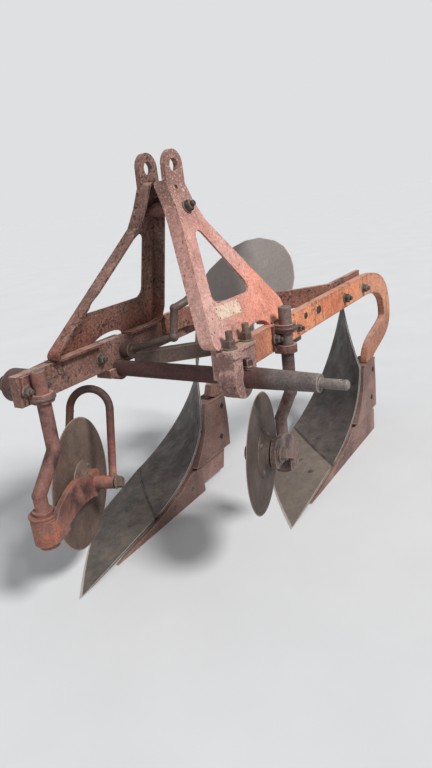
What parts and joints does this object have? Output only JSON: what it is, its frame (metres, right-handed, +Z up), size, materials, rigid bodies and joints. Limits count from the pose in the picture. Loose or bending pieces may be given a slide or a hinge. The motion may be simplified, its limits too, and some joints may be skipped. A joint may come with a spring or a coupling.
{
  "type": "mounted moldboard plough",
  "caption": "Mounted moldboard plough with staggered bottoms, disc coulters on swivelling forks, gooseneck beams, a leaning plate mast and a cranked cross shaft with lower hitch pins.",
  "frame": {"origin": "on the sole plane under the middle of the plough's bounding box", "axes": "+Z up, -Y the direction of travel, +X the plough's left side"},
  "size_m": [0.894, 1.53, 1.0239],
  "materials": {
    "rusty_paint": "worn and rusty",
    "faded_paint": "faded and streaked",
    "bare_steel": "bare and brown",
    "soil_iron": "dull with dry soil",
    "rusty_iron": "rusty"
  },
  "bodies": {
    "frame": {"front_beam": "rusty_paint", "rear_beam": "faded_paint", "beam_brace": "rusty_paint", "draft_bar": "bare_steel", "trash_shield": "soil_iron", "mast_plate_left": "faded_paint", "mast_plate_right": "rusty_paint", "mast_bolt": "rusty_paint", "cross_shaft": "bare_steel", "shaft_bracket_left": "rusty_paint", "shaft_bracket_right": "rusty_paint", "bracket_studs": "bare_steel", "adjusting_crank": "bare_steel", "front_share": "soil_iron", "front_moldboard": "soil_iron", "front_frog": "rusty_iron", "front_landside": "rusty_iron", "rear_share": "soil_iron", "rear_moldboard": "soil_iron", "rear_frog": "rusty_iron", "rear_landside": "rusty_iron", "front_coulter_clamp": "rusty_iron", "front_coulter_stem": "rusty_iron", "rear_coulter_clamp": "rusty_iron", "rear_coulter_stem": "rusty_iron"},
    "front_yoke": {"front_coulter_yoke": "rusty_iron"},
    "front_disc": {"front_coulter_disc": "rusty_iron"},
    "rear_yoke": {"rear_coulter_yoke": "rusty_iron"},
    "rear_disc": {"rear_coulter_disc": "rusty_iron"}
  },
  "joints": [
    {"name": "front_coulter_swivel", "type": "hinge", "parent": "frame", "child": "front_yoke", "pos_m": [-0.1475, -0.73299, 0.256], "axis": [0, 0, 1], "range_deg": [-52, 8]},
    {"name": "front_disc_spin", "type": "hinge", "parent": "front_yoke", "child": "front_disc", "pos_m": [-0.22692, -0.53643, 0.254], "axis": [0.9272, 0.3746, 0], "continuous": true},
    {"name": "rear_coulter_swivel", "type": "hinge", "parent": "frame", "child": "rear_yoke", "pos_m": [0.1705, -0.17299, 0.232], "axis": [0, 0, 1], "range_deg": [-20, 20]},
    {"name": "rear_disc_spin", "type": "hinge", "parent": "rear_yoke", "child": "rear_disc", "pos_m": [0.22179, -0.3787, 0.332], "axis": [-0.9703, -0.2419, 0], "continuous": true}
  ]
}
